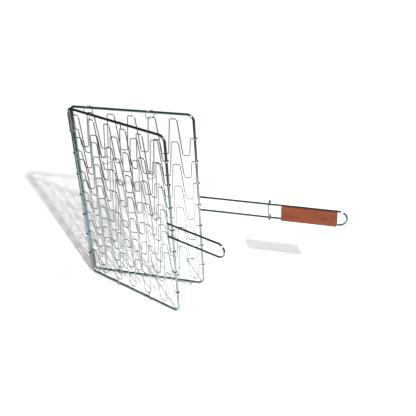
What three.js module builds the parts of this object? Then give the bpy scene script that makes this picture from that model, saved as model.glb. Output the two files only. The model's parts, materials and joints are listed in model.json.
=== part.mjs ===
// A folding grill basket: two leaves of bent wire on one tall hinge, a long handle with a wooden
// grip on the back leaf, a short handle on the front leaf, and a slide that locks the two together.
// It stands on edge, partly open, like a book. Millimetres, +Z up, +X along the long handle.
import * as THREE from "three";

// ---- Driving dimensions ----
const LEAF_WIDTH = 234; // hinge wire to outer wire, on centre lines
const LEAF_HEIGHT = 350; // bottom wire to top wire, on centre lines
const LEAF_GAP = 9; // between the planes of the leaves when the basket is closed
const REST_OPENING = 22; // degrees between the leaves as it stands

const FRAME_WIRE = 4.5; // diameter of the border wire of each leaf
const HINGE_BEND = 7; // bend radius of the border's corners on the hinge side
const OUTER_BEND = 12; // and on the outer side

const WAVE_WIRE = 1.8; // diameter of the thin wires that cross a leaf
const WAVE_ROWS = 7;
const WAVE_FLATS = 11; // crests and troughs together in one row
const WAVE_REACH = 34; // from a row's middle line to the wire of a crest or a trough
const WAVE_MARGIN = 18; // from the border wire to the middle of the first flat
const FLAT_LENGTH = 13; // straight stretch of a crest or a trough, corner to corner
const WAVE_BEND = 3; // bend radius at the corners of a wave
const END_REACH = 8; // from the border wire to where a wave turns away to its hook
const HOOK_RADIUS = 3.5; // of the hook round the border wire, on the centre line
const HOOK_TURN = 255; // degrees that the hook wraps

const RING_WIRE = 1.4; // diameter of the wire of the tie rings
const EDGE_RING_RADIUS = 8; // rings that tie a row to the top or bottom wire
const EDGE_RING_TURN = 40; // degrees between such a ring and the leaf
const ROW_RING_RADIUS = 7; // rings that tie one row to the next
const ROW_RING_TURN = 55;
const ROW_RING_LEAN = -46; // degrees, the way such a ring leans within the leaf
const ROW_RING_ASIDE = 7.6; // from the middle of a trough to the middle of its ring
const ROW_RING_BELOW = 2.8;
const RING_SHIFT = 3.3; // how far a ring sits from the middle of the flat that it holds

const HANDLE_WIRE = 4; // diameter of the wire of both handles
const LONG_HANDLE_HALF = 13.3; // half the spacing of the long handle's two wires
const LONG_HANDLE_RAISE = 3; // from mid-height of the leaf to the middle of the handle
const LONG_HANDLE_END = 504; // hinge wire to the far end of the hanging loop
const SHORT_HANDLE_HALF = 13;
const SHORT_HANDLE_START = 228; // hinge wire to the cut ends
const SHORT_HANDLE_END = 354; // hinge wire to the rounded end

const GRIP_START = 388.5; // hinge wire to the near end of the wooden grip
const GRIP_LENGTH = 97;
const GRIP_THICKNESS = 13;
const GRIP_HEIGHT = 27;
const GRIP_FORWARD = 2; // the block sits this far in front of the handle wires
const GRIP_EDGE = 1.2; // rounding along its long edges

const SLIDE_WIRE = 2.4; // diameter of the wire of the lock slide
const SLIDE_PLACE = 365.5; // hinge wire to the slide as the basket stands
const SLIDE_ARM = 18; // from the middle of the long handle to each arm
const SLIDE_DEPTH = 12; // from the front bar to the turned-in ends
const SLIDE_BEND = 3;
const SLIDE_RETURN = 6; // how far its ends turn in behind the long handle

const SLEEVE_SHEET = 0.8; // thickness of the sheet-metal hinge sleeves
const SLEEVE_SLIT = 1.2; // open seam between the edges of the rolled sheet
const SLEEVE_MARGIN = 1.3; // from the border's bend and from the first hook to the sleeve

const CLEARANCE = 0.3; // between pieces that touch

// ---- Sections and smoothness ----
const FRAME_SIDES = 8;
const WAVE_SIDES = 5;
const RING_SIDES = 5;
const RING_SEGMENTS = 12;
const SLIDE_SIDES = 6;
const BEND_STEPS = 4;
const WAVE_BEND_STEPS = 1;
const HOOK_STEPS = 9;
const LOOP_STEPS = 10;
const ARC_STEPS = 8;

const radians = THREE.MathUtils.degToRad;

// ---- Finishes ----
const chrome = () =>
  new THREE.MeshStandardMaterial({ color: 0xaeb8ba, roughness: 0.18, metalness: 1 });
const sheetSteel = () =>
  new THREE.MeshStandardMaterial({ color: 0x8a8b83, roughness: 0.38, metalness: 1 });
const wood = () =>
  new THREE.MeshStandardMaterial({ color: 0xa9562f, roughness: 0.6, metalness: 0 });

function addPiece(group, name, geometry, finish) {
  const mesh = new THREE.Mesh(geometry, finish());
  mesh.name = name;
  group.add(mesh);
  return mesh;
}

// ---- Wire ----

// The centre line of a bent wire. Its stations are exactly the points given, and the section at
// each station stands square to the bend there.
class BentWire extends THREE.Curve {
  constructor(points, closed = false) {
    super();
    this.points = points;
    this.last = closed ? points.length : points.length - 1;
    const count = points.length;
    const run = (i) => {
      const from = closed ? (i + count) % count : THREE.MathUtils.clamp(i, 0, count - 2);
      return points[(from + 1) % count].clone().sub(points[from]).normalize();
    };
    this.tangents = points.map((_, i) => run(i - 1).add(run(i)).normalize());
  }

  station(u) {
    return Math.round(u * this.last) % this.points.length;
  }

  getPoint(u, target = new THREE.Vector3()) {
    return target.copy(this.points[this.station(u)]);
  }

  getPointAt(u, target) {
    return this.getPoint(u, target);
  }

  getTangentAt(u, target = new THREE.Vector3()) {
    return target.copy(this.tangents[this.station(u)]);
  }
}

// Rounds the corners of a line: each corner but the ends of an open line becomes an arc.
function roundCorners(corners, radii, steps, closed = false) {
  const count = corners.length;
  const points = [];
  corners.forEach((corner, i) => {
    if (!closed && (i === 0 || i === count - 1)) {
      points.push(corner.clone());
      return;
    }
    const radius = Array.isArray(radii) ? radii[i] : radii;
    const into = corner.clone().sub(corners[(i + count - 1) % count]).normalize();
    const out = corners[(i + 1) % count].clone().sub(corner).normalize();
    const bend = into.angleTo(out);
    const side = out.clone().addScaledVector(into, -into.dot(out)).normalize();
    const start = corner.clone().addScaledVector(into, -radius * Math.tan(bend / 2));
    for (let step = 0; step <= steps; step++) {
      const angle = (bend * step) / steps;
      points.push(
        start
          .clone()
          .addScaledVector(into, radius * Math.sin(angle))
          .addScaledVector(side, radius * (1 - Math.cos(angle))),
      );
    }
  });
  return points;
}

function wireSection(diameter, sides) {
  const corners = Array.from({ length: sides }, (_, i) => {
    const angle = (2 * Math.PI * i) / sides;
    return new THREE.Vector2(Math.cos(angle), Math.sin(angle)).multiplyScalar(diameter / 2);
  });
  return new THREE.Shape(corners);
}

function openWire(points, diameter, sides) {
  return new THREE.ExtrudeGeometry(wireSection(diameter, sides), {
    steps: points.length - 1,
    extrudePath: new BentWire(points),
  });
}

function closedWire(points, diameter, sides) {
  return new THREE.TubeGeometry(
    new BentWire(points, true), points.length, diameter / 2, sides, true);
}

// A point of a leaf: u from the hinge wire outwards, z up, y out of the leaf's plane.
const onLeaf = (u, z, y = 0) => new THREE.Vector3(u, y, z);

// ---- Leaves ----

function borderWire() {
  const corners = [
    onLeaf(0, 0),
    onLeaf(LEAF_WIDTH, 0),
    onLeaf(LEAF_WIDTH, LEAF_HEIGHT),
    onLeaf(0, LEAF_HEIGHT),
  ];
  const bends = [HINGE_BEND, OUTER_BEND, OUTER_BEND, HINGE_BEND];
  return closedWire(roundCorners(corners, bends, BEND_STEPS, true), FRAME_WIRE, FRAME_SIDES);
}

const rowLine = (row) => LEAF_HEIGHT * (1 - row / (WAVE_ROWS + 1)); // row 1 is the top one
const flatStep = (LEAF_WIDTH - 2 * WAVE_MARGIN) / (WAVE_FLATS - 1);
const flatPlace = (flat) => WAVE_MARGIN + flat * flatStep;

// The hook at the hinge end of a row, from its free end to where it leaves the border wire.
function hookPoints(z) {
  const leave = Math.acos(HOOK_RADIUS / END_REACH);
  return Array.from({ length: HOOK_STEPS + 1 }, (_, i) => {
    const angle = -leave - radians(HOOK_TURN) * (1 - i / HOOK_STEPS);
    return onLeaf(HOOK_RADIUS * Math.cos(angle), z, HOOK_RADIUS * Math.sin(angle));
  });
}

const mirrored = (points) => points.map((p) => onLeaf(LEAF_WIDTH - p.x, p.z, p.y)).reverse();

// One zigzag wire across a leaf. first is -1 where it starts with a trough, and 1 with a crest.
function waveWire(row, first) {
  const z = rowLine(row);
  const hook = hookPoints(z);
  const corners = [hook[hook.length - 1], onLeaf(END_REACH, z)];
  for (let flat = 0; flat < WAVE_FLATS; flat++) {
    const level = z + (flat % 2 ? -first : first) * WAVE_REACH;
    corners.push(onLeaf(flatPlace(flat) - FLAT_LENGTH / 2, level));
    corners.push(onLeaf(flatPlace(flat) + FLAT_LENGTH / 2, level));
  }
  corners.push(...mirrored(corners.slice(0, 2)));
  const wave = roundCorners(corners, WAVE_BEND, WAVE_BEND_STEPS);
  return openWire([...hook, ...wave.slice(1, -1), ...mirrored(hook)], WAVE_WIRE, WAVE_SIDES);
}

// A tie ring. lean turns it within the leaf's plane and turn swings it out of that plane.
function tieRing(u, z, radius, lean, turn) {
  const along = onLeaf(Math.cos(lean), Math.sin(lean));
  const across = onLeaf(
    -Math.sin(lean) * Math.cos(turn), Math.cos(lean) * Math.cos(turn), Math.sin(turn));
  const placing = new THREE.Matrix4()
    .makeBasis(along, across, along.clone().cross(across))
    .setPosition(onLeaf(u, z));
  return new THREE.TorusGeometry(radius, RING_WIRE / 2, RING_SIDES, RING_SEGMENTS).applyMatrix4(placing);
}

// Rings round the top or bottom wire rest against it, and reach past the nearest flat of a row.
const ringOffset = EDGE_RING_RADIUS - (FRAME_WIRE + RING_WIRE) / 2 - CLEARANCE;

const topRing = (u, turn) =>
  tieRing(u, LEAF_HEIGHT - ringOffset, EDGE_RING_RADIUS, Math.PI / 2, radians(turn));
const bottomRing = (u) =>
  tieRing(u, ringOffset, EDGE_RING_RADIUS, Math.PI / 2, radians(EDGE_RING_TURN));

// A ring between two rows hangs beside and below a corner of the upper row's trough.
// side is 1 for the trough's outer corner and -1 for the corner nearer the hinge.
function rowRing(row, flat, side) {
  const lean = side > 0 ? radians(ROW_RING_LEAN) : Math.PI - radians(ROW_RING_LEAN);
  return tieRing(
    flatPlace(flat) + side * ROW_RING_ASIDE,
    rowLine(row) - WAVE_REACH - ROW_RING_BELOW,
    ROW_RING_RADIUS, lean, radians(ROW_RING_TURN));
}

// name is the leaf's name, first as for waveWire. rings holds one list for each kind of ring, and
// topTurn says which way its top rings have swung.
function buildLeaf(name, first, rings) {
  const leaf = new THREE.Group();
  addPiece(leaf, `${name}_frame`, borderWire(), chrome);
  for (let row = 1; row <= WAVE_ROWS; row++)
    addPiece(leaf, `${name}_wave_${row}`, waveWire(row, first), chrome);
  rings.top.forEach((u, i) =>
    addPiece(leaf, `${name}_top_ring_${i + 1}`, topRing(u, rings.topTurn), chrome));
  rings.bottom.forEach((u, i) =>
    addPiece(leaf, `${name}_bottom_ring_${i + 1}`, bottomRing(u), chrome));
  rings.between.forEach(({ row, flat, side }, i) =>
    addPiece(leaf, `${name}_row_ring_${i + 1}`, rowRing(row, flat, side), chrome));
  return leaf;
}

// ---- Handles, grip and lock slide ----

const midHeight = LEAF_HEIGHT / 2;
const longHandleHeight = midHeight + LONG_HANDLE_RAISE;

// A handle: one wire bent into a hairpin, its round end away from the basket.
function hairpin(start, end, half, middle, y) {
  const runEnd = end - HANDLE_WIRE / 2 - half;
  const points = [onLeaf(start, middle + half, y)];
  for (let step = 0; step <= LOOP_STEPS; step++) {
    const angle = Math.PI * (0.5 - step / LOOP_STEPS);
    points.push(onLeaf(runEnd + half * Math.cos(angle), middle + half * Math.sin(angle), y));
  }
  points.push(onLeaf(start, middle - half, y));
  return openWire(points, HANDLE_WIRE, FRAME_SIDES);
}

// The long handle butts against the outer wire of the back leaf, in the leaf's own plane.
const longHandle = () =>
  hairpin(
    LEAF_WIDTH + FRAME_WIRE / 2 + CLEARANCE, LONG_HANDLE_END, LONG_HANDLE_HALF, longHandleHeight, 0);

// The short handle lies against the outside of the front leaf's outer wire.
const shortHandleOut = (FRAME_WIRE + HANDLE_WIRE) / 2 + CLEARANCE;
const shortHandle = () =>
  hairpin(SHORT_HANDLE_START, SHORT_HANDLE_END, SHORT_HANDLE_HALF, midHeight, -shortHandleOut);

// The grip's section: a block with a groove for a handle wire along its top and its bottom.
function gripSection() {
  const front = -GRIP_THICKNESS / 2 - GRIP_FORWARD;
  const back = GRIP_THICKNESS / 2 - GRIP_FORWARD;
  const top = GRIP_HEIGHT / 2;
  const groove = HANDLE_WIRE / 2 + CLEARANCE;
  const shape = new THREE.Shape();
  shape.moveTo(front, -top + GRIP_EDGE);
  shape.lineTo(front, top - GRIP_EDGE);
  shape.absarc(front + GRIP_EDGE, top - GRIP_EDGE, GRIP_EDGE, Math.PI, Math.PI / 2, true);
  shape.lineTo(-groove, top);
  shape.absarc(0, LONG_HANDLE_HALF, groove, Math.PI, 2 * Math.PI, false);
  shape.lineTo(groove, top);
  shape.absarc(back - GRIP_EDGE, top - GRIP_EDGE, GRIP_EDGE, Math.PI / 2, 0, true);
  shape.lineTo(back, -top + GRIP_EDGE);
  shape.absarc(back - GRIP_EDGE, -top + GRIP_EDGE, GRIP_EDGE, 0, -Math.PI / 2, true);
  shape.lineTo(groove, -top);
  shape.absarc(0, -LONG_HANDLE_HALF, groove, 0, Math.PI, false);
  shape.lineTo(-groove, -top);
  shape.absarc(front + GRIP_EDGE, -top + GRIP_EDGE, GRIP_EDGE, -Math.PI / 2, -Math.PI, true);
  return shape;
}

// Stands a section drawn in the Y-Z plane up along +X.
const sectionAlongX = new THREE.Matrix4().makeBasis(
  new THREE.Vector3(0, 1, 0), new THREE.Vector3(0, 0, 1), new THREE.Vector3(1, 0, 0));

function grip() {
  return new THREE.ExtrudeGeometry(gripSection(), {
    depth: GRIP_LENGTH, bevelEnabled: false, curveSegments: ARC_STEPS,
  })
    .applyMatrix4(sectionAlongX)
    .translate(GRIP_START, 0, longHandleHeight);
}

// The lock slide: a bar against the front of the long handle, an arm above and below it, and ends
// that turn in behind it. It is deep enough for the wires of both handles when they are squeezed
// together.
function lockSlide() {
  const front = -(HANDLE_WIRE + SLIDE_WIRE) / 2 - CLEARANCE;
  const back = front + SLIDE_DEPTH;
  const corners = [
    [back, SLIDE_ARM - SLIDE_RETURN],
    [back, SLIDE_ARM],
    [front, SLIDE_ARM],
    [front, -SLIDE_ARM],
    [back, -SLIDE_ARM],
    [back, SLIDE_RETURN - SLIDE_ARM],
  ].map(([y, z]) => onLeaf(SLIDE_PLACE, longHandleHeight + z, y));
  return openWire(roundCorners(corners, SLIDE_BEND, BEND_STEPS), SLIDE_WIRE, SLIDE_SIDES);
}

// ---- Hinge sleeves ----

// Sheet rolled round both hinge wires, its seam on the side that faces the basket.
function sleeveSection() {
  const inner = FRAME_WIRE / 2 + CLEARANCE;
  const outer = inner + SLEEVE_SHEET;
  const seamTop = (SLEEVE_SLIT - LEAF_GAP) / 2;
  const seamBottom = (-SLEEVE_SLIT - LEAF_GAP) / 2;
  const shape = new THREE.Shape();
  shape.moveTo(outer, seamTop);
  shape.lineTo(outer, 0);
  shape.absarc(0, 0, outer, 0, Math.PI, false);
  shape.lineTo(-outer, -LEAF_GAP);
  shape.absarc(0, -LEAF_GAP, outer, Math.PI, 2 * Math.PI, false);
  shape.lineTo(outer, seamBottom);
  shape.lineTo(inner, seamBottom);
  shape.lineTo(inner, -LEAF_GAP);
  shape.absarc(0, -LEAF_GAP, inner, 0, -Math.PI, true);
  shape.lineTo(-inner, 0);
  shape.absarc(0, 0, inner, Math.PI, 0, true);
  shape.lineTo(inner, seamTop);
  return shape;
}

function hingeSleeve(bottom) {
  return new THREE.ExtrudeGeometry(sleeveSection(), {
    depth: sleeveLength, bevelEnabled: false, curveSegments: ARC_STEPS,
  }).translate(0, 0, bottom);
}

const sleeveBottom = HINGE_BEND + SLEEVE_MARGIN;
const sleeveLength = rowLine(WAVE_ROWS) - WAVE_WIRE / 2 - SLEEVE_MARGIN - sleeveBottom;

// ---- Assembly ----

const backLeaf = buildLeaf("back", -1, {
  top: [flatPlace(1) - RING_SHIFT, flatPlace(7) - RING_SHIFT],
  topTurn: -EDGE_RING_TURN,
  bottom: [flatPlace(2), flatPlace(8) + RING_SHIFT],
  between: [
    { row: 2, flat: 6, side: 1 },
    { row: 4, flat: 6, side: 1 },
    { row: 6, flat: 10, side: -1 },
  ],
});
addPiece(backLeaf, "long_handle", longHandle(), chrome);
addPiece(backLeaf, "grip", grip(), wood);
addPiece(backLeaf, "lock_slide", lockSlide(), chrome);
addPiece(backLeaf, "hinge_sleeve_bottom", hingeSleeve(sleeveBottom), sheetSteel);
addPiece(
  backLeaf, "hinge_sleeve_top", hingeSleeve(LEAF_HEIGHT - sleeveBottom - sleeveLength), sheetSteel);

const frontLeaf = buildLeaf("front", 1, {
  top: [flatPlace(2) - RING_SHIFT, flatPlace(6) - RING_SHIFT],
  topTurn: EDGE_RING_TURN,
  bottom: [flatPlace(3) - RING_SHIFT, flatPlace(7) + RING_SHIFT],
  between: [
    { row: 1, flat: 3, side: 1 },
    { row: 3, flat: 9, side: 1 },
    { row: 5, flat: 3, side: -1 },
  ],
});
addPiece(frontLeaf, "short_handle", shortHandle(), chrome);
frontLeaf.position.y = -LEAF_GAP;
frontLeaf.rotation.z = -radians(REST_OPENING);

// The origin is the middle of the footprint, at the height that the basket stands on.
const basket = new THREE.Group();
basket.add(backLeaf, frontLeaf);
const bounds = new THREE.Box3().setFromObject(basket, true);
const middle = bounds.getCenter(new THREE.Vector3());
basket.position.set(-middle.x, -middle.y, -bounds.min.z);

const grillBasket = new THREE.Group();
grillBasket.add(basket);

export default grillBasket;
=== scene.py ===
import json
import math
import random

import bmesh
import bpy
from mathutils import Matrix, Vector


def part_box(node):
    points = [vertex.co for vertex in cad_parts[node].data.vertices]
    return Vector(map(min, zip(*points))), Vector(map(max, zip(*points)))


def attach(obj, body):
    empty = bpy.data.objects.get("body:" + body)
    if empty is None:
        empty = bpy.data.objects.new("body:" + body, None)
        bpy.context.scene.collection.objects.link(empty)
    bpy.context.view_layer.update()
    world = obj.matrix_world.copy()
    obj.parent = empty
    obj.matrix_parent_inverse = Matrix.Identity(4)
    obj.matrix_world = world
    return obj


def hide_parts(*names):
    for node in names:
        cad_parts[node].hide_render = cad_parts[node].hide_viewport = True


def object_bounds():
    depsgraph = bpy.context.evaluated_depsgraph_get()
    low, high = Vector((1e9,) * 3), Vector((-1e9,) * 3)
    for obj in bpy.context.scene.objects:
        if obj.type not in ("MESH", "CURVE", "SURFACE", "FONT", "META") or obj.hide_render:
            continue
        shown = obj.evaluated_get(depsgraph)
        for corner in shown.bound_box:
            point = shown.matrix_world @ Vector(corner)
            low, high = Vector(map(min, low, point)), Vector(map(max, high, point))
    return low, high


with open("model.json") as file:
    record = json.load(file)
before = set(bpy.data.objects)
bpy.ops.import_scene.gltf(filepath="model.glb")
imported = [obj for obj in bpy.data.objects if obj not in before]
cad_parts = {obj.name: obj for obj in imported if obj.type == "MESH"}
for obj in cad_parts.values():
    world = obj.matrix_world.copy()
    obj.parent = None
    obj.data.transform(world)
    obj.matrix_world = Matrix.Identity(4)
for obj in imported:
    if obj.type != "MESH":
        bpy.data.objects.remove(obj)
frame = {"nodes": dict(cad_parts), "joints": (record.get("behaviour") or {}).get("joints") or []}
cad_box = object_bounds()

# ---- Sizes, in metres ----
MM = 0.001

BORDER_RADIUS = 2.25 * MM  # wire of a leaf's border
HINGE_BEND = 7 * MM
OUTER_BEND = 12 * MM

WAVE_RADIUS = 0.9 * MM  # thin wire that crosses a leaf
WAVE_ROWS = 7
WAVE_FLATS = 11
WAVE_REACH = 34 * MM
WAVE_MARGIN = 18 * MM
FLAT_LENGTH = 13 * MM
WAVE_BEND = 3.4 * MM
END_REACH = 8 * MM
HOOK_RADIUS = 3.35 * MM
HOOK_TURN = math.radians(258)
WAVE_UNEVEN = 0.45 * MM  # how far a hand-bent corner strays

RING_WIRE_RADIUS = 0.7 * MM
EDGE_RING_RADIUS = 8 * MM
EDGE_RING_TURN = math.radians(40)
ROW_RING_RADIUS = 7 * MM
ROW_RING_TURN = math.radians(55)
ROW_RING_LEAN = math.radians(-46)
RING_GAP = math.radians(5)  # the cut where a ring was closed

HANDLE_RADIUS = 2 * MM
SHORT_HANDLE_HALF = 13 * MM
SHORT_HANDLE_START = 228 * MM
SHORT_HANDLE_END = 354 * MM
SHORT_HANDLE_OUT = 4.38 * MM

SLIDE_RADIUS = 1.2 * MM
SLIDE_BEND = 3 * MM
SLIDE_RETURN = 6 * MM

SLEEVE_SHEET = 0.8 * MM
SLEEVE_SLIT = 1.2 * MM
SLEEVE_INNER = 2.55 * MM

GRIP_EDGE = 1.6 * MM
GROOVE_RADIUS = 2.3 * MM

# ---- Places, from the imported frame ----
border_low, border_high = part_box("back_frame")
LEAF_WIDTH = border_high.x - border_low.x - 2 * BORDER_RADIUS
LEAF_HEIGHT = border_high.z - border_low.z - 2 * BORDER_RADIUS
handle_low, handle_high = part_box("long_handle")
LONG_HANDLE_HALF = (handle_high.z - handle_low.z) / 2 - HANDLE_RADIUS
hinge = next(j for j in frame["joints"] if j["name"] == "leaf_hinge")
REST_OPENING = math.radians(-hinge["range_deg"][0])
UP = Vector((0, 0, 1))


class Leaf:
    """A leaf's own axes: u from the hinge wire outwards, z up, y out of its plane to the back."""

    def __init__(self, name, body, x, y, opening, first):
        self.name = name
        self.body = body
        self.origin = Vector((x, y, border_low.z + BORDER_RADIUS))
        self.along = Vector((math.cos(opening), -math.sin(opening), 0))
        self.back = Vector((math.sin(opening), math.cos(opening), 0))
        self.first = first

    def at(self, u, z, y=0.0):
        return self.origin + self.along * u + UP * z + self.back * y


back_leaf = Leaf(
    "back", "back_leaf", border_low.x + BORDER_RADIUS, (border_low.y + border_high.y) / 2, 0.0, -1)
front_leaf = Leaf(
    "front", "front_leaf", hinge["pos_m"][0], hinge["pos_m"][1], REST_OPENING, 1)


# ---- Mesh tools ----
def new_object(name, vertices, faces):
    mesh = bpy.data.meshes.new(name)
    mesh.from_pydata([tuple(v) for v in vertices], [], faces)
    mesh.validate()
    for polygon in mesh.polygons:
        polygon.use_smooth = True
    obj = bpy.data.objects.new(name, mesh)
    bpy.context.scene.collection.objects.link(obj)
    return obj


def outward(obj):
    """Turns every face of a closed mesh outwards."""
    work = bmesh.new()
    work.from_mesh(obj.data)
    bmesh.ops.recalc_face_normals(work, faces=work.faces)
    work.to_mesh(obj.data)
    work.free()
    return obj


def applied(obj):
    """Makes the result of an object's modifiers its mesh."""
    graph = bpy.context.evaluated_depsgraph_get()
    graph.update()
    mesh = bpy.data.meshes.new_from_object(obj.evaluated_get(graph))
    obj.modifiers.clear()
    obj.data = mesh
    return obj


def arc(corner, before, after, radius, steps):
    """The points of the arc that rounds a corner of a bent wire."""
    into = (corner - before).normalized()
    out = (after - corner).normalized()
    bend = into.angle(out)
    side = (out - into * into.dot(out)).normalized()
    start = corner - into * (radius * math.tan(bend / 2))
    angles = [bend * step / steps for step in range(steps + 1)]
    return [start + into * (radius * math.sin(a)) + side * (radius * (1 - math.cos(a))) for a in angles]


def rounded(corners, radii, steps, closed=False):
    """A bent wire's centre line, with each corner but the ends of an open one made an arc."""
    count = len(corners)
    points = []
    for i, corner in enumerate(corners):
        if not closed and i in (0, count - 1):
            points.append(corner)
            continue
        radius = radii[i] if isinstance(radii, (list, tuple)) else radii
        points += arc(corner, corners[i - 1], corners[(i + 1) % count], radius, steps)
    return points


def thinned(points, least=0.02 * MM):
    """The points without those that repeat the one before."""
    kept = [points[0]]
    for point in points[1:]:
        if (point - kept[-1]).length > least:
            kept.append(point)
    return kept


def subdivided(points, longest):
    """The points with more between them wherever two are further apart than longest."""
    result = [points[0]]
    for a, b in zip(points, points[1:]):
        parts = max(1, math.ceil((b - a).length / longest))
        result += [a.lerp(b, i / parts) for i in range(1, parts + 1)]
    return result


END_STEPS = 4


def wire(name, points, radius, sides, closed=False, seed=0, uneven=0.02):
    """A round wire along its centre line. An open one has softened cut ends."""
    points = thinned(points)
    count = len(points)
    draw = random.Random(seed)
    tangents = []
    for i in range(count):
        before = points[i] - points[i - 1] if closed or i else points[1] - points[0]
        after = points[(i + 1) % count] - points[i] if closed or i < count - 1 else before
        tangents.append((before.normalized() + after.normalized()).normalized())
    normal = tangents[0].orthogonal().normalized()
    rings = []
    for i, (point, tangent) in enumerate(zip(points, tangents)):
        if i:
            normal = tangents[i - 1].rotation_difference(tangent) @ normal
        size = radius * (1 + draw.uniform(-uneven, 0))
        rings.append((point, tangent, normal.copy(), size))
    if not closed:
        first, last = rings[0], rings[-1]
        angles = [math.pi / 2 * step / END_STEPS for step in range(1, END_STEPS)]
        head = [end_ring(first, a, -1) for a in reversed(angles)]
        tail = [end_ring(last, a, 1) for a in angles]
        rings = head + rings + tail
    vertices = []
    for point, tangent, across, size in rings:
        other = tangent.cross(across)
        for s in range(sides):
            turn = 2 * math.pi * s / sides
            vertices.append(point + (across * math.cos(turn) + other * math.sin(turn)) * size)
    total = len(rings)
    faces = []
    for i in range(total if closed else total - 1):
        here, there = i * sides, (i + 1) % total * sides
        for s in range(sides):
            t = (s + 1) % sides
            faces.append((here + s, here + t, there + t, there + s))
    if not closed:
        faces.append(tuple(reversed(range(sides))))
        faces.append(tuple(range((total - 1) * sides, total * sides)))
    return outward(new_object(name, vertices, faces))


END_ROUND = 0.35  # how far a cut end is rounded, as a share of the wire's radius


def end_ring(ring, angle, side):
    """One ring of the softened end of a wire."""
    point, tangent, normal, size = ring
    inset = size * END_ROUND
    shift = tangent * (side * inset * (math.sin(angle) - 1))
    return point + shift, tangent, normal, size - inset * (1 - math.cos(angle))


# ---- Materials ----
def material(name, metallic):
    made = bpy.data.materials.new(name)
    made.use_nodes = True
    nodes = made.node_tree.nodes
    shader = nodes["Principled BSDF"]
    shader.inputs["Metallic"].default_value = metallic
    return made, nodes, made.node_tree.links, shader


def noise(nodes, links, scale, detail=4.0, stretch=(1, 1, 1), rough=0.55, place=(0, 0, 0)):
    """A noise texture in the object's own coordinates."""
    where = nodes.new("ShaderNodeTexCoord")
    mapping = nodes.new("ShaderNodeMapping")
    mapping.inputs["Scale"].default_value = stretch
    mapping.inputs["Location"].default_value = place
    texture = nodes.new("ShaderNodeTexNoise")
    texture.inputs["Scale"].default_value = scale
    texture.inputs["Detail"].default_value = detail
    texture.inputs["Roughness"].default_value = rough
    links.new(where.outputs["Object"], mapping.inputs["Vector"])
    links.new(mapping.outputs["Vector"], texture.inputs["Vector"])
    return texture.outputs["Fac"]


def ramp(nodes, links, source, stops):
    made = nodes.new("ShaderNodeValToRGB")
    stops = sorted(stops)
    elements = made.color_ramp.elements
    elements[0].position, elements[-1].position = stops[0][0], stops[-1][0]
    for place, _ in stops[1:-1]:
        elements.new(place)
    for element, (_, colour) in zip(elements, stops):
        element.color = (*colour, 1)
    links.new(source, made.inputs["Fac"])
    return made.outputs["Color"]


def remap(nodes, links, source, low, high, from_low=0.0, from_high=1.0):
    made = nodes.new("ShaderNodeMapRange")
    made.inputs["From Min"].default_value = from_low
    made.inputs["From Max"].default_value = from_high
    made.inputs["To Min"].default_value = low
    made.inputs["To Max"].default_value = high
    links.new(source, made.inputs["Value"])
    return made.outputs["Result"]


def mix(nodes, links, factor, a, b, blend="MIX"):
    made = nodes.new("ShaderNodeMix")
    made.data_type = "RGBA"
    made.blend_type = blend
    for socket, value in ((made.inputs[0], factor), (made.inputs[6], a), (made.inputs[7], b)):
        if hasattr(value, "is_linked"):
            links.new(value, socket)
        else:
            socket.default_value = value if isinstance(value, float) else (*value, 1)
    return made.outputs[2]


def bump(nodes, links, height, shader, strength, distance, under=None):
    made = nodes.new("ShaderNodeBump")
    made.inputs["Strength"].default_value = strength
    made.inputs["Distance"].default_value = distance
    links.new(height, made.inputs["Height"])
    if under is not None:
        links.new(under, made.inputs["Normal"])
    links.new(made.outputs["Normal"], shader.inputs["Normal"])
    return made.outputs["Normal"]


def chrome(name, dark, light, stain, rough_low, rough_high):
    """Bright plating with cloudy patches, faint heat stains and fine drawing marks."""
    made, nodes, links, shader = material(name, 1.0)
    cloud = noise(nodes, links, 38)
    base = ramp(nodes, links, cloud, [(0.34, dark), (0.66, light)])
    spots = noise(nodes, links, 120, detail=6, place=(3, 1, 2))
    stained = remap(nodes, links, spots, 0.0, 0.55, 0.56, 0.74)
    links.new(mix(nodes, links, stained, base, stain), shader.inputs["Base Color"])
    haze = noise(nodes, links, 210, detail=5, place=(1, 4, 2))
    links.new(
        remap(nodes, links, haze, rough_low, rough_high, 0.3, 0.7), shader.inputs["Roughness"])
    pits = noise(nodes, links, 1900, detail=3)
    waviness = noise(nodes, links, 260, detail=2, place=(5, 2, 7))
    lower = bump(nodes, links, waviness, shader, 0.12, 0.25 * MM)
    bump(nodes, links, pits, shader, 0.10, 0.04 * MM, lower)
    return made


def sheet_steel():
    """Dull rolled sheet: brown-grey, brushed lengthwise, with brighter rubbed streaks."""
    made, nodes, links, shader = material("hinge_sheet_steel", 1.0)
    streaks = noise(nodes, links, 1.0, detail=6, stretch=(1500, 1500, 45))
    cloud = noise(nodes, links, 90, detail=5)
    base = ramp(
        nodes, links, cloud,
        [(0.3, (0.40, 0.38, 0.34)), (0.55, (0.52, 0.50, 0.46)), (0.75, (0.62, 0.60, 0.56))])
    rubbed = ramp(nodes, links, streaks, [(0.45, (0.8, 0.8, 0.8)), (0.75, (1.25, 1.25, 1.25))])
    links.new(mix(nodes, links, 1.0, base, rubbed, "MULTIPLY"), shader.inputs["Base Color"])
    links.new(remap(nodes, links, streaks, 0.30, 0.52, 0.3, 0.7), shader.inputs["Roughness"])
    bump(nodes, links, streaks, shader, 0.25, 0.03 * MM)
    return made


def weld_metal():
    """A fused bead: darker, rougher, with straw and blue heat colours."""
    made, nodes, links, shader = material("weld_metal", 1.0)
    tint = noise(nodes, links, 420, detail=3)
    colours = ramp(
        nodes, links, tint,
        [(0.3, (0.20, 0.19, 0.19)), (0.5, (0.38, 0.36, 0.33)), (0.62, (0.40, 0.31, 0.19)),
         (0.75, (0.24, 0.27, 0.33))])
    links.new(colours, shader.inputs["Base Color"])
    grain = noise(nodes, links, 1500, detail=4)
    links.new(remap(nodes, links, grain, 0.28, 0.5), shader.inputs["Roughness"])
    bump(nodes, links, grain, shader, 0.35, 0.08 * MM)
    return made


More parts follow.
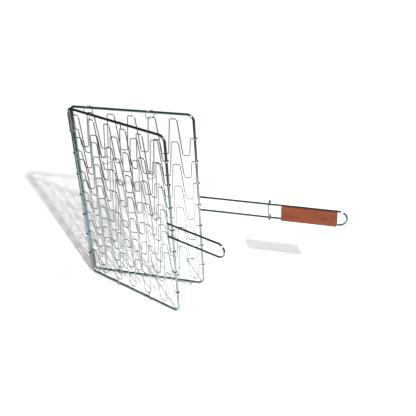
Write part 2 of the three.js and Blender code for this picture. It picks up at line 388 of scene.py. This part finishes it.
KNOT_ALONG = 0.775  # where a knot lies, as shares of the grip's length and height
KNOT_UP = 0.52
KNOT_LENGTH = 6.0 * MM  # half sizes
KNOT_HEIGHT = 3.6 * MM


def wood(low, high):
    """Oiled reddish hardwood: lengthwise figure, fine dark pores and a small knot."""
    made, nodes, links, shader = material("grip_wood_oiled", 0.0)
    figure = noise(nodes, links, 1.0, detail=5, stretch=(14, 150, 260), rough=0.6)
    broad = noise(nodes, links, 1.0, detail=3, stretch=(9, 40, 45), place=(2, 0, 5))
    base = ramp(
        nodes, links, figure,
        [(0.28, (0.1065, 0.0225, 0.0074)), (0.46, (0.138, 0.031, 0.0099)),
         (0.6, (0.163, 0.039, 0.0124)), (0.78, (0.192, 0.049, 0.0158))])
    shade = ramp(nodes, links, broad, [(0.3, (0.80, 0.76, 0.74)), (0.7, (1.12, 1.12, 1.12))])
    toned = mix(nodes, links, 1.0, base, shade, "MULTIPLY")
    pores = noise(nodes, links, 1.0, detail=2, stretch=(130, 2600, 2600), place=(1, 3, 1))
    pore = remap(nodes, links, pores, 0.0, 0.55, 0.60, 0.74)
    pored = mix(nodes, links, pore, toned, (0.060, 0.015, 0.006))

    where = nodes.new("ShaderNodeTexCoord")
    mapping = nodes.new("ShaderNodeMapping")
    size = high - low
    centre = Vector((low.x + size.x * KNOT_ALONG, 0, low.z + size.z * KNOT_UP))
    spread = Vector((1 / KNOT_LENGTH, 0, 1 / KNOT_HEIGHT))
    mapping.inputs["Scale"].default_value = spread
    mapping.inputs["Location"].default_value = [-c * s for c, s in zip(centre, spread)]
    links.new(where.outputs["Object"], mapping.inputs["Vector"])
    wobble = noise(nodes, links, 300, detail=3)
    distance = nodes.new("ShaderNodeVectorMath")
    distance.operation = "LENGTH"
    links.new(mapping.outputs["Vector"], distance.inputs[0])
    ragged = nodes.new("ShaderNodeMath")
    ragged.operation = "ADD"
    links.new(distance.outputs["Value"], ragged.inputs[0])
    links.new(remap(nodes, links, wobble, -0.5, 0.5), ragged.inputs[1])
    knot = remap(nodes, links, ragged.outputs[0], 0.75, 0.0, 0.35, 1.25)
    coloured = mix(nodes, links, knot, pored, (0.045, 0.018, 0.013))
    links.new(coloured, shader.inputs["Base Color"])

    links.new(remap(nodes, links, figure, 0.58, 0.42), shader.inputs["Roughness"])
    shader.inputs["Specular IOR Level"].default_value = 0.25
    shader.inputs["Coat Weight"].default_value = 0.06
    shader.inputs["Coat Roughness"].default_value = 0.35
    lower = bump(nodes, links, figure, shader, 0.25, 0.12 * MM)
    bump(nodes, links, pores, shader, 0.30, 0.10 * MM, lower)
    return made


MATERIALS = {
    "frame_wire": chrome(
        "border_chrome", (0.40, 0.50, 0.52), (0.56, 0.67, 0.68), (0.33, 0.34, 0.31), 0.08, 0.20),
    "slide_wire": chrome(
        "slide_chrome", (0.22, 0.25, 0.26), (0.32, 0.35, 0.35), (0.20, 0.19, 0.17), 0.14, 0.30),
    "grille_wire": chrome(
        "zigzag_chrome", (0.50, 0.53, 0.53), (0.68, 0.71, 0.70), (0.40, 0.37, 0.31), 0.12, 0.28),
    "hinge_sheet": sheet_steel(),
    "weld": weld_metal(),
    "grip_wood": wood(*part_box("grip")),
}


def piece(obj, body, slot, *nodes, look=None):
    """Finishes a visible piece: its material, the body it moves with, and what it stands for."""
    obj.data.materials.clear()
    obj.data.materials.append(MATERIALS[look or slot])
    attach(obj, body)
    if nodes:
        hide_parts(*nodes)
    return obj


# ---- Leaves ----
BORDER_SIDES = 20
BORDER_SEED = 3
THICK_WIRE_UNEVEN = 0.006  # how far a wire's thickness varies, as a share of it
THIN_WIRE_UNEVEN = 0.02
WAVE_SIDES = 12
BEND_STEPS = 10
WAVE_BEND_STEPS = 6
HOOK_STEPS = 26
RUN_STEP = 14 * MM


def border(leaf):
    corners = [
        leaf.at(0, 0), leaf.at(LEAF_WIDTH, 0), leaf.at(LEAF_WIDTH, LEAF_HEIGHT), leaf.at(0, LEAF_HEIGHT)]
    bends = [HINGE_BEND, OUTER_BEND, OUTER_BEND, HINGE_BEND]
    line = rounded(corners, bends, BEND_STEPS, closed=True)
    line = subdivided([*line, line[0]], RUN_STEP)[:-1]
    obj = wire(
        f"{leaf.name}_border_wire", line, BORDER_RADIUS, BORDER_SIDES,
        closed=True, seed=BORDER_SEED, uneven=THICK_WIRE_UNEVEN)
    return piece(obj, leaf.body, "frame_wire", f"{leaf.name}_frame")


def row_line(row):
    return LEAF_HEIGHT * (1 - row / (WAVE_ROWS + 1))


def hook_points(z):
    """The hook at the hinge end of a row, free end first, as (u, z, y)."""
    leave = math.acos(HOOK_RADIUS / END_REACH)
    points = []
    for i in range(HOOK_STEPS + 1):
        angle = -leave - HOOK_TURN * (1 - i / HOOK_STEPS)
        points.append((HOOK_RADIUS * math.cos(angle), z, HOOK_RADIUS * math.sin(angle)))
    return points


def mirrored(points):
    return [(LEAF_WIDTH - u, z, y) for u, z, y in reversed(points)]


def zigzag(leaf, row):
    """One thin wire across a leaf, bent by hand, so no two of its corners are quite alike."""
    z = row_line(row)
    draw = random.Random(row * 10 + (leaf.first > 0))
    step = (LEAF_WIDTH - 2 * WAVE_MARGIN) / (WAVE_FLATS - 1)
    hook = hook_points(z)
    corners = [hook[-1], (END_REACH, z, 0)]
    for flat in range(WAVE_FLATS):
        level = z + (-leaf.first if flat % 2 else leaf.first) * WAVE_REACH
        middle = WAVE_MARGIN + flat * step + draw.uniform(-WAVE_UNEVEN, WAVE_UNEVEN)
        for side in (-1, 1):
            corners.append((
                middle + side * FLAT_LENGTH / 2 + draw.uniform(-WAVE_UNEVEN, WAVE_UNEVEN) / 2,
                level + draw.uniform(-WAVE_UNEVEN, WAVE_UNEVEN) / 2,
                draw.uniform(-WAVE_UNEVEN, WAVE_UNEVEN) / 2))
    corners += mirrored(corners[:2])
    line = rounded([leaf.at(*c) for c in corners], WAVE_BEND, WAVE_BEND_STEPS)
    hook_in = [leaf.at(*p) for p in hook]
    hook_out = [leaf.at(*p) for p in mirrored(hook)]
    line = subdivided([*hook_in, *line[1:-1], *hook_out], RUN_STEP)
    obj = wire(
        f"{leaf.name}_zigzag_wire_{row}", line, WAVE_RADIUS, WAVE_SIDES, seed=row,
        uneven=THIN_WIRE_UNEVEN)
    return piece(obj, leaf.body, "grille_wire", f"{leaf.name}_wave_{row}")


RING_SIDES = 10
RING_STEPS = 40
RING_CUT = math.radians(70)  # where round the ring its cut lies
RING_UNEVEN = 0.03


def ring(leaf, node, radius, lean, turn):
    """A split ring, closed round two wires, about the middle of its CAD node."""
    low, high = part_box(node)
    centre = (low + high) / 2
    along = leaf.along * math.cos(lean) + UP * math.sin(lean)
    across = (
        leaf.along * (-math.sin(lean) * math.cos(turn))
        + UP * (math.cos(lean) * math.cos(turn))
        + leaf.back * math.sin(turn))
    span = 2 * math.pi - RING_GAP
    angles = [RING_CUT + RING_GAP / 2 + span * i / RING_STEPS for i in range(RING_STEPS + 1)]
    line = [centre + along * (radius * math.cos(a)) + across * (radius * math.sin(a)) for a in angles]
    obj = wire(node.replace("ring", "split_ring"), line, RING_WIRE_RADIUS, RING_SIDES, uneven=RING_UNEVEN)
    return piece(obj, leaf.body, "grille_wire", node)


def rings(leaf):
    for node in sorted(frame["nodes"]):
        if not node.startswith(leaf.name):
            continue
        if "_top_ring_" in node or "_bottom_ring_" in node:
            other_way = node.startswith("back_top_ring_")
            turn = -EDGE_RING_TURN if other_way else EDGE_RING_TURN
            ring(leaf, node, EDGE_RING_RADIUS, math.pi / 2, turn)
        elif "_row_ring_" in node:
            outer = node not in ("back_row_ring_3", "front_row_ring_3")
            lean = ROW_RING_LEAN if outer else math.pi - ROW_RING_LEAN
            ring(leaf, node, ROW_RING_RADIUS, lean, ROW_RING_TURN)


# ---- Handles ----
LOOP_STEPS = 28
HANDLE_SIDES = 18
SLIDE_SIDES = 14
SLIDE_UNEVEN = 0.01
WELD_LUMPS = 9
LONG_WELD_SIZE = (1.5 * MM, 2.35 * MM, 2.55 * MM)  # half sizes along, across and up
LONG_WELD_OUT = 0.35 * MM  # how far past the border's wire its middle lies
LONG_WELD_SEED = 20
SHORT_WELD_SIZE = (2.3 * MM, 1.5 * MM, 2.2 * MM)
SHORT_WELD_SEED = 30


def hairpin(leaf, start, end, half, middle, y):
    """The centre line of a handle: two runs joined by a half circle at the far end."""
    run_end = end - half
    line = [leaf.at(start, middle + half, y)]
    for step in range(LOOP_STEPS + 1):
        angle = math.pi * (0.5 - step / LOOP_STEPS)
        line.append(leaf.at(run_end + half * math.cos(angle), middle + half * math.sin(angle), y))
    line.append(leaf.at(start, middle - half, y))
    return subdivided(line, RUN_STEP)


def weld_bead(name, leaf, u, z, y, size, seed):
    """A small uneven bead where two wires were fused."""
    work = bmesh.new()
    bmesh.ops.create_icosphere(work, subdivisions=4, radius=1.0)
    draw = random.Random(seed)
    lumps = [(Vector([draw.gauss(0, 1) for _ in range(3)]).normalized(), draw.uniform(0.04, 0.12))
             for _ in range(WELD_LUMPS)]
    for vertex in work.verts:
        direction = vertex.co.normalized()
        swell = 1 + sum(h * max(0.0, direction.dot(d)) ** 6 for d, h in lumps) - 0.05
        local = [direction[i] * size[i] * swell for i in range(3)]
        vertex.co = leaf.at(u, z, y) + leaf.along * local[0] + leaf.back * local[1] + UP * local[2]
    for face in work.faces:
        face.smooth = True
    mesh = bpy.data.meshes.new(name)
    work.to_mesh(mesh)
    work.free()
    obj = bpy.data.objects.new(name, mesh)
    bpy.context.scene.collection.objects.link(obj)
    return piece(obj, leaf.body, "frame_wire", look="weld")


def long_handle():
    start = handle_low.x - back_leaf.origin.x
    end = handle_high.x - back_leaf.origin.x - HANDLE_RADIUS
    middle = (handle_low.z + handle_high.z) / 2 - back_leaf.origin.z
    line = hairpin(back_leaf, start, end, LONG_HANDLE_HALF, middle, 0.0)
    obj = wire("long_handle_wire", line, HANDLE_RADIUS, HANDLE_SIDES, uneven=THICK_WIRE_UNEVEN)
    piece(obj, "back_leaf", "frame_wire", "long_handle")
    for side, name in ((1, "top"), (-1, "bottom")):
        weld_bead(
            f"long_handle_weld_{name}", back_leaf, LEAF_WIDTH + BORDER_RADIUS + LONG_WELD_OUT,
            middle + side * LONG_HANDLE_HALF, 0.0, LONG_WELD_SIZE, LONG_WELD_SEED + side)


def short_handle():
    middle = LEAF_HEIGHT / 2
    line = hairpin(
        front_leaf, SHORT_HANDLE_START, SHORT_HANDLE_END - HANDLE_RADIUS,
        SHORT_HANDLE_HALF, middle, -SHORT_HANDLE_OUT)
    obj = wire("short_handle_wire", line, HANDLE_RADIUS, HANDLE_SIDES, uneven=THICK_WIRE_UNEVEN)
    piece(obj, "front_leaf", "frame_wire", "short_handle")
    for side, name in ((1, "top"), (-1, "bottom")):
        weld_bead(
            f"short_handle_weld_{name}", front_leaf, LEAF_WIDTH, middle + side * SHORT_HANDLE_HALF,
            -SHORT_HANDLE_OUT / 2, SHORT_WELD_SIZE, SHORT_WELD_SEED + side)


def lock_slide():
    low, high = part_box("lock_slide")
    x = (low.x + high.x) / 2
    front, back = low.y + SLIDE_RADIUS, high.y - SLIDE_RADIUS
    bottom, top = low.z + SLIDE_RADIUS, high.z - SLIDE_RADIUS
    outline = [
        (back, top - SLIDE_RETURN), (back, top), (front, top), (front, bottom), (back, bottom),
        (back, bottom + SLIDE_RETURN)]
    line = rounded([Vector((x, y, z)) for y, z in outline], SLIDE_BEND, BEND_STEPS)
    obj = wire(
        "lock_slide_clip", subdivided(line, RUN_STEP / 2), SLIDE_RADIUS, SLIDE_SIDES, uneven=SLIDE_UNEVEN)
    return piece(obj, "slide", "frame_wire", "lock_slide", look="slide_wire")


# ---- Hinge sleeves ----
SLEEVE_ROUND_STEPS = 20
SLEEVE_LEVELS = 24
SLEEVE_EDGE = 0.3 * MM
SLEEVE_DENTS = 5
DENT_SPREAD = 3 * MM
DENT_SPREAD_ROUND = 4  # the same, counted in points of the outline


def sleeve_outline(offset, seam):
    """Half-round ends joined by flat sides, open by the seam on the side that faces the food."""
    radius = SLEEVE_INNER + offset
    y_back = back_leaf.origin.y
    y_front = front_leaf.origin.y
    middle = (y_back + y_front) / 2
    x = back_leaf.origin.x
    steps = SLEEVE_ROUND_STEPS
    side = [(x + radius, middle + seam / 2 + (y_back - middle - seam / 2) * i / 3) for i in range(3)]
    top = [(x + radius * math.cos(a), y_back + radius * math.sin(a))
           for a in (math.pi * i / steps for i in range(steps + 1))]
    low = [(x - radius * math.cos(a), y_front - radius * math.sin(a))
           for a in (math.pi * i / steps for i in range(steps + 1))]
    rest = [(x + radius, y_front + (middle - seam / 2 - y_front) * i / 3) for i in range(1, 4)]
    return [*side, *top, *low, *rest]


def hinge_sleeve(node, seed):
    """Thin sheet rolled round both hinge wires, dented a little, with softened edges."""
    low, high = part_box(node)
    draw = random.Random(seed)
    dents = [(draw.uniform(low.z, high.z), draw.uniform(0, 40), draw.uniform(0.05, 0.14) * MM)
             for _ in range(SLEEVE_DENTS)]
    levels = SLEEVE_LEVELS
    edge = SLEEVE_EDGE
    outer, inner = sleeve_outline(SLEEVE_SHEET, SLEEVE_SLIT), sleeve_outline(0, SLEEVE_SLIT)
    count = len(outer)
    profile = [(low.z + edge * (1 - math.cos(a)), edge * (math.sin(a) - 1))
               for a in (math.pi / 2 * i / 3 for i in range(4))]
    heights = [z for z, _ in profile]
    insets = [inset for _, inset in profile]
    body = [low.z + edge + (high.z - low.z - 2 * edge) * i / levels for i in range(1, levels)]
    heights = heights + body + [high.z + low.z - z for z in reversed(heights)]
    insets = insets + [0.0] * len(body) + list(reversed(insets))
    vertices = []
    for z, inset in zip(heights, insets):
        for i, ((ox, oy), (ix, iy)) in enumerate(zip(outer, inner)):
            dent = sum(
                depth * math.exp(-((z - at) / DENT_SPREAD) ** 2 - ((i - place) / DENT_SPREAD_ROUND) ** 2)
                for at, place, depth in dents)
            share = 1 + (inset - dent) / SLEEVE_SHEET
            vertices.append((ix + (ox - ix) * share, iy + (oy - iy) * share, z))
        vertices += [(ix, iy, z) for ix, iy in inner]
    faces = []
    total = len(heights)
    for level in range(total - 1):
        here, there = level * 2 * count, (level + 1) * 2 * count
        for i in range(count - 1):
            faces.append((here + i, here + i + 1, there + i + 1, there + i))
            faces.append((here + count + i, there + count + i, there + count + i + 1, here + count + i + 1))
        faces.append((here, there, there + count, here + count))
        last = count - 1
        faces.append((here + last, here + count + last, there + count + last, there + last))
    for level in (0, total - 1):
        here = level * 2 * count
        faces += [(here + i, here + i + 1, here + count + i + 1, here + count + i) for i in range(count - 1)]
    obj = outward(new_object(node + "_sheet", vertices, faces))
    obj.data.set_sharp_from_angle(angle=math.radians(50))
    return piece(obj, "back_leaf", "hinge_sheet", node)


# ---- Grip ----
GRIP_STATIONS = 16
GRIP_BEVEL = 0.7 * MM


def grip_outline(low, high):
    """The block's section as (y, z): rounded corners, and a groove for a wire top and bottom."""
    wire_y = back_leaf.origin.y
    middle = (low.z + high.z) / 2
    corner_steps, groove_steps = 6, 18

    def corner(y, z, start):
        angles = [start - math.pi / 2 * i / corner_steps for i in range(corner_steps + 1)]
        return [(y + GRIP_EDGE * math.cos(a), z + GRIP_EDGE * math.sin(a)) for a in angles]

    def groove(z, start):
        angles = [start + math.pi * i / groove_steps for i in range(groove_steps + 1)]
        return [(wire_y + GROOVE_RADIUS * math.cos(a), z + GROOVE_RADIUS * math.sin(a)) for a in angles]

    return [
        *corner(low.y + GRIP_EDGE, high.z - GRIP_EDGE, math.pi),
        (wire_y - GROOVE_RADIUS, high.z),
        *groove(middle + LONG_HANDLE_HALF, math.pi),
        (wire_y + GROOVE_RADIUS, high.z),
        *corner(high.y - GRIP_EDGE, high.z - GRIP_EDGE, math.pi / 2),
        *corner(high.y - GRIP_EDGE, low.z + GRIP_EDGE, 0),
        (wire_y + GROOVE_RADIUS, low.z),
        *groove(middle - LONG_HANDLE_HALF, 0),
        (wire_y - GROOVE_RADIUS, low.z),
        *corner(low.y + GRIP_EDGE, low.z + GRIP_EDGE, -math.pi / 2),
    ]


def grip():
    low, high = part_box("grip")
    outline = grip_outline(low, high)
    count = len(outline)
    stations = GRIP_STATIONS
    vertices = [
        (low.x + (high.x - low.x) * station / stations, y, z)
        for station in range(stations + 1) for y, z in outline]
    faces = [
        (s * count + i, s * count + (i + 1) % count, (s + 1) * count + (i + 1) % count, (s + 1) * count + i)
        for s in range(stations) for i in range(count)]
    faces += [tuple(range(count)), tuple(range(stations * count, (stations + 1) * count))]
    obj = outward(new_object("grip_block", vertices, faces))
    bevel = obj.modifiers.new("edges", "BEVEL")
    bevel.width = GRIP_BEVEL
    bevel.segments = 4
    bevel.limit_method = "ANGLE"
    bevel.angle_limit = math.radians(60)
    applied(obj)
    obj.data.set_sharp_from_angle(angle=math.radians(40))
    return piece(obj, "back_leaf", "grip_wood", "grip")


for leaf in (back_leaf, front_leaf):
    border(leaf)
    for row in range(1, WAVE_ROWS + 1):
        zigzag(leaf, row)
    rings(leaf)
long_handle()
short_handle()
lock_slide()
grip()
hinge_sleeve("hinge_sleeve_top", 5)
hinge_sleeve("hinge_sleeve_bottom", 8)


# ---- Floor, light and camera ----
KEY_PLACE = Vector((0.895, -1.080, 1.425))
KEY_POWER = 70.0
KEY_SIZE = 0.05
FLOOR_HALF = 14.0
FLOOR_BY_HINGE = 1.02  # the floor's painted level by the hinge and by the grip, and where along X it changes: painted shade, darker by the hinge where the basket's shadow falls
FLOOR_BY_GRIP = 1.69
FLOOR_CHANGE_START = -0.30
FLOOR_CHANGE_END = -0.08
GLOSS_NEAR = 0.30  # how far out the floor's painted reflection stays a lit grey to the plating, and from where it is painted dark
GLOSS_FAR = 0.60
# painted reflection colours of the floor, as the plating sees it: lit grey close by, dark further out
GLOSS_PAINTED_LIT_FLOOR = (0.38, 0.41, 0.41)
GLOSS_PAINTED_DARK = (0.020, 0.028, 0.030)


def math_node(nodes, links, operation, a, b):
    made = nodes.new("ShaderNodeMath")
    made.operation = operation
    for socket, value in zip(made.inputs, (a, b)):
        if hasattr(value, "is_linked"):
            links.new(value, socket)
        else:
            socket.default_value = value
    return made.outputs[0]


def painted_floor_shade(nodes, links, where):
    """Painted shade on the floor: its colour is divided by the key lamp's falloff, cancelling the lamp's
    pool of light so the lit sheet is just white and shadows show on it, and it is painted darker by the
    hinge, where the basket's shadow falls, than by the grip.
    """
    apart = nodes.new("ShaderNodeVectorMath")
    apart.operation = "DISTANCE"
    apart.inputs[1].default_value = KEY_PLACE
    links.new(where.outputs["Object"], apart.inputs[0])
    cube = math_node(nodes, links, "POWER", apart.outputs["Value"], 3.0)
    lamp = math_node(nodes, links, "DIVIDE", KEY_POWER * KEY_PLACE.z / math.pi ** 2, cube)
    side = nodes.new("ShaderNodeSeparateXYZ")
    links.new(where.outputs["Object"], side.inputs[0])
    # Painted shade: a lower level by the hinge, where the basket's shadow falls, than by the grip.
    level = remap(
        nodes, links, side.outputs["X"], FLOOR_BY_HINGE, FLOOR_BY_GRIP, FLOOR_CHANGE_START, FLOOR_CHANGE_END)
    return math_node(nodes, links, "DIVIDE", level, math_node(nodes, links, "ADD", lamp, 1.0))


def floor():
    half = FLOOR_HALF
    obj = new_object(
        "floor", [(-half, -half, 0), (half, -half, 0), (half, half, 0), (-half, half, 0)], [(0, 1, 2, 3)])
    made = bpy.data.materials.new("floor_painted_shade")
    made.use_nodes = True
    nodes, links = made.node_tree.nodes, made.node_tree.links
    shader = nodes["Principled BSDF"]
    shader.inputs["Roughness"].default_value = 0.9
    shader.inputs["Specular IOR Level"].default_value = 0.0
    where = nodes.new("ShaderNodeTexCoord")
    # Painted shade: the floor's colour cancels the key lamp's pool of light and is darker by the hinge.
    painted_floor = mix(nodes, links, painted_floor_shade(nodes, links, where), (0.0, 0.0, 0.0), (1.0, 1.0, 0.997))
    # Painted reflection: to glossy rays the floor is painted a lit grey close by, fading to painted dark
    # further out, so the plated wires reflect a dark studio with the sheet only just lit close by.
    reach = nodes.new("ShaderNodeVectorMath")
    reach.operation = "LENGTH"
    links.new(where.outputs["Object"], reach.inputs[0])
    away = remap(nodes, links, reach.outputs["Value"], 0.0, 1.0, GLOSS_NEAR, GLOSS_FAR)
    painted_reflection = mix(nodes, links, away, GLOSS_PAINTED_LIT_FLOOR, GLOSS_PAINTED_DARK)
    path = nodes.new("ShaderNodeLightPath")
    colour = mix(nodes, links, path.outputs["Is Glossy Ray"], painted_floor, painted_reflection)
    links.new(colour, shader.inputs["Base Color"])
    obj.data.materials.append(made)


def studio():
    """Even white light from all round, and a dark room for the plating to reflect."""
    world = bpy.data.worlds.new("studio")
    bpy.context.scene.world = world
    world.use_nodes = True
    nodes, links = world.node_tree.nodes, world.node_tree.links
    even = nodes["Background"]
    even.inputs["Color"].default_value = (1.0, 1.0, 1.0, 1)
    even.inputs["Strength"].default_value = 1.0
    room = nodes.new("ShaderNodeBackground")
    room.inputs["Strength"].default_value = 1.0
    where = nodes.new("ShaderNodeTexCoord")
    height = nodes.new("ShaderNodeSeparateXYZ")
    links.new(where.outputs["Generated"], height.inputs[0])
    shade = ramp(
        nodes, links, remap(nodes, links, height.outputs["Z"], 0, 1, -0.2, 1.0),
        [(0.0, (0.020, 0.030, 0.032)), (0.45, (0.012, 0.019, 0.021)),
         (0.80, (0.016, 0.024, 0.026)), (1.0, (0.07, 0.085, 0.09))])
    links.new(shade, room.inputs["Color"])
    path = nodes.new("ShaderNodeLightPath")
    choose = nodes.new("ShaderNodeMixShader")
    links.new(path.outputs["Is Glossy Ray"], choose.inputs[0])
    links.new(even.outputs[0], choose.inputs[1])
    links.new(room.outputs[0], choose.inputs[2])
    links.new(choose.outputs[0], nodes["World Output"].inputs["Surface"])


def aim(obj, target):
    obj.rotation_euler = (target - obj.location).to_track_quat("-Z", "Y").to_euler()


def light(name, place, size, power, target):
    lamp = bpy.data.lights.new(name, "AREA")
    lamp.shape = "DISK"
    lamp.size = size
    lamp.energy = power
    obj = bpy.data.objects.new(name, lamp)
    obj.location = place
    bpy.context.scene.collection.objects.link(obj)
    aim(obj, target)


centre = (Vector(cad_box[0]) + Vector(cad_box[1])) / 2
floor()
studio()
light("key", KEY_PLACE, KEY_SIZE, KEY_POWER, centre)

CAMERA_AZIMUTH = math.radians(-19.02)  # 0 looks along +Y, positive turns towards +X
CAMERA_DOWN = math.radians(29.05)
CAMERA_ROLL = math.radians(3.21)
CAMERA_DISTANCE = 1.25
CAMERA_LENS = 60.37
CAMERA_SENSOR = 36.0
CAMERA_TARGET = centre + Vector((0.0083, 0.0480, 0.0071))


def camera():
    data = bpy.data.cameras.new("camera")
    data.lens = CAMERA_LENS
    data.sensor_width = CAMERA_SENSOR
    obj = bpy.data.objects.new("camera", data)
    bpy.context.scene.collection.objects.link(obj)
    ahead = Vector((
        math.sin(CAMERA_AZIMUTH) * math.cos(CAMERA_DOWN),
        math.cos(CAMERA_AZIMUTH) * math.cos(CAMERA_DOWN),
        -math.sin(CAMERA_DOWN)))
    level = ahead.cross(UP).normalized()
    above = level.cross(ahead)
    right = level * math.cos(CAMERA_ROLL) - above * math.sin(CAMERA_ROLL)
    above = right.cross(ahead)
    turn = Matrix((right, above, -ahead)).transposed().to_4x4()
    obj.matrix_world = Matrix.Translation(CAMERA_TARGET - ahead * CAMERA_DISTANCE) @ turn
    bpy.context.scene.camera = obj


camera()
bpy.context.scene.view_settings.view_transform = "Standard"
bpy.context.scene.view_settings.look = "None"
